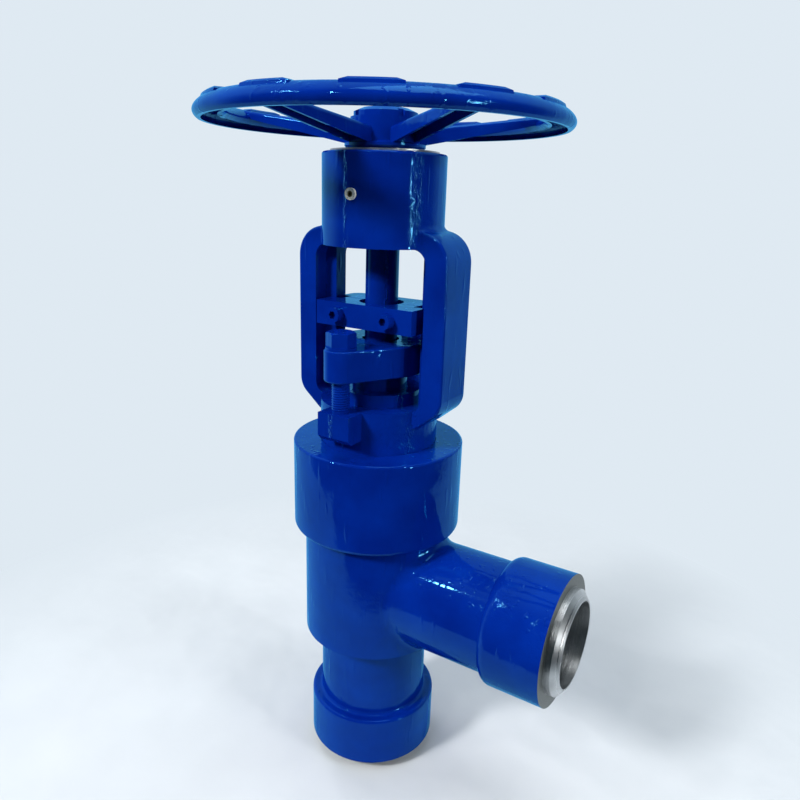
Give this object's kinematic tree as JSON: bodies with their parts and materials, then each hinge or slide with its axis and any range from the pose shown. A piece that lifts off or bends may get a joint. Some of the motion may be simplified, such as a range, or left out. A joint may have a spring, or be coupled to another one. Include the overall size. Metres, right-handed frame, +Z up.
{
  "type": "angle globe valve",
  "caption": "Angle globe valve with butt-weld ends, an outside screw and yoke, a bolted gland and a spoked handwheel that lifts the stem and disc.",
  "frame": {"origin": "centre of the inlet's weld face, on which the valve stands", "axes": "+Z up along the stem, +X out of the outlet branch"},
  "size_m": [0.3444, 0.2948, 0.5936],
  "materials": {
    "blue_enamel": "gloss",
    "bare_steel": "turned",
    "brass": "satin",
    "graphite": "matte",
    "seal_rubber": "matte"
  },
  "bodies": {
    "valve": {"valve_body": "blue_enamel", "seat_ring": "bare_steel", "yoke": "blue_enamel", "bonnet_gasket": "graphite", "backseat_bush": "bare_steel", "packing_washer": "bare_steel", "packing_rings": "graphite", "bearing_retainer": "bare_steel", "retainer_screw": "bare_steel", "grease_nipple": "brass", "oil_seal": "seal_rubber", "lower_housing_washer": "bare_steel", "upper_housing_washer": "bare_steel"},
    "wheel": {"handwheel": "blue_enamel", "handwheel_key": "blue_enamel", "handwheel_nut": "blue_enamel", "stem_nut": "blue_enamel", "lower_shaft_washer": "bare_steel", "upper_shaft_washer": "bare_steel"},
    "lower_roller_set": {"lower_cage": "brass", "lower_rollers": "bare_steel"},
    "upper_roller_set": {"upper_cage": "brass", "upper_rollers": "bare_steel"},
    "stem": {"stem": "blue_enamel", "guide_plate": "blue_enamel", "guide_clamp": "blue_enamel", "clamp_screws": "blue_enamel"},
    "disc": {"disc": "bare_steel", "disc_nut": "bare_steel"},
    "gland": {"gland_flange": "blue_enamel", "gland_follower": "blue_enamel", "gland_bolts": "blue_enamel", "gland_washers": "blue_enamel"}
  },
  "joints": [
    {"name": "handwheel_turn", "type": "hinge", "parent": "valve", "child": "wheel", "pos_m": [0, 0, 0.5221], "axis": [0, 0, 1], "range_deg": [0, 1800]},
    {"name": "lower_rollers_turn", "type": "hinge", "parent": "valve", "child": "lower_roller_set", "pos_m": [0, 0, 0.5086], "axis": [0, 0, 1], "range_deg": [0, 900.2]},
    {"name": "upper_rollers_turn", "type": "hinge", "parent": "valve", "child": "upper_roller_set", "pos_m": [0, 0, 0.5356], "axis": [0, 0, 1], "range_deg": [0, 900.2]},
    {"name": "stem_lift", "type": "slide", "parent": "valve", "child": "stem", "axis": [0, 0, 1], "range_m": [0, 0.02501]},
    {"name": "disc_swivel", "type": "hinge", "parent": "stem", "child": "disc", "pos_m": [0, 0, 0.1376], "axis": [0, 0, 1], "continuous": true},
    {"name": "gland_slide", "type": "slide", "parent": "valve", "child": "gland", "axis": [0, 0, 1], "range_m": [0, 0.008]}
  ],
  "couplings": [
    {"joint": "stem_lift", "follows": "handwheel_turn", "m_per_rad": 0.00079577},
    {"joint": "lower_rollers_turn", "follows": "handwheel_turn", "ratio": 0.5},
    {"joint": "upper_rollers_turn", "follows": "handwheel_turn", "ratio": 0.5}
  ]
}
